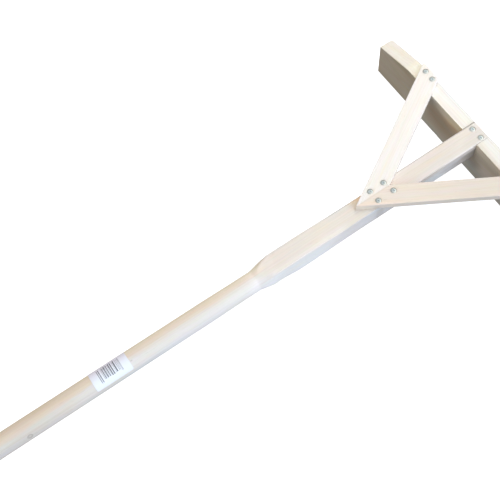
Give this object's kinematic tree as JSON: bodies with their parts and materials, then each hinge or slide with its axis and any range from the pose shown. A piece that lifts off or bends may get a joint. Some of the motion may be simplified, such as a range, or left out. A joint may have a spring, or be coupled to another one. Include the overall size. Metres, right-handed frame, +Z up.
{
  "type": "wooden lute",
  "caption": "Wooden concrete lute: a straight board on edge with a long handle let into its top edge, mitred braces and countersunk screws.",
  "frame": {"origin": "centre of the board's bottom (working) edge, halfway along it and halfway through its thickness", "axes": "+Z up from the working edge, +Y from the user towards the board's front face with the handle running back along -Y, +X to the user's right along the board"},
  "size_m": [0.4, 1.5, 0.0848],
  "materials": {
    "handle_wood": "bare planed and sanded pale softwood, straight grain",
    "board_wood": "bare planed pale softwood",
    "brace_wood": "bare planed pale softwood, fine straight grain",
    "label_paper": "white coated paper sticker with plain black bars",
    "zinc_steel": "bright zinc-plated steel"
  },
  "bodies": {
    "root": {"handle": "handle_wood", "blade_board": "board_wood", "brace_left": "brace_wood", "brace_right": "brace_wood", "barcode_label": "label_paper", "screw_brace_left_board_outer": "zinc_steel", "screw_brace_left_board_inner": "zinc_steel", "screw_brace_right_board_outer": "zinc_steel", "screw_brace_right_board_inner": "zinc_steel", "screw_brace_left_handle_front": "zinc_steel", "screw_brace_left_handle_rear": "zinc_steel", "screw_brace_right_handle_front": "zinc_steel", "screw_brace_right_handle_rear": "zinc_steel", "screw_handle_board_left": "zinc_steel", "screw_handle_board_right": "zinc_steel"}
  },
  "joints": []
}
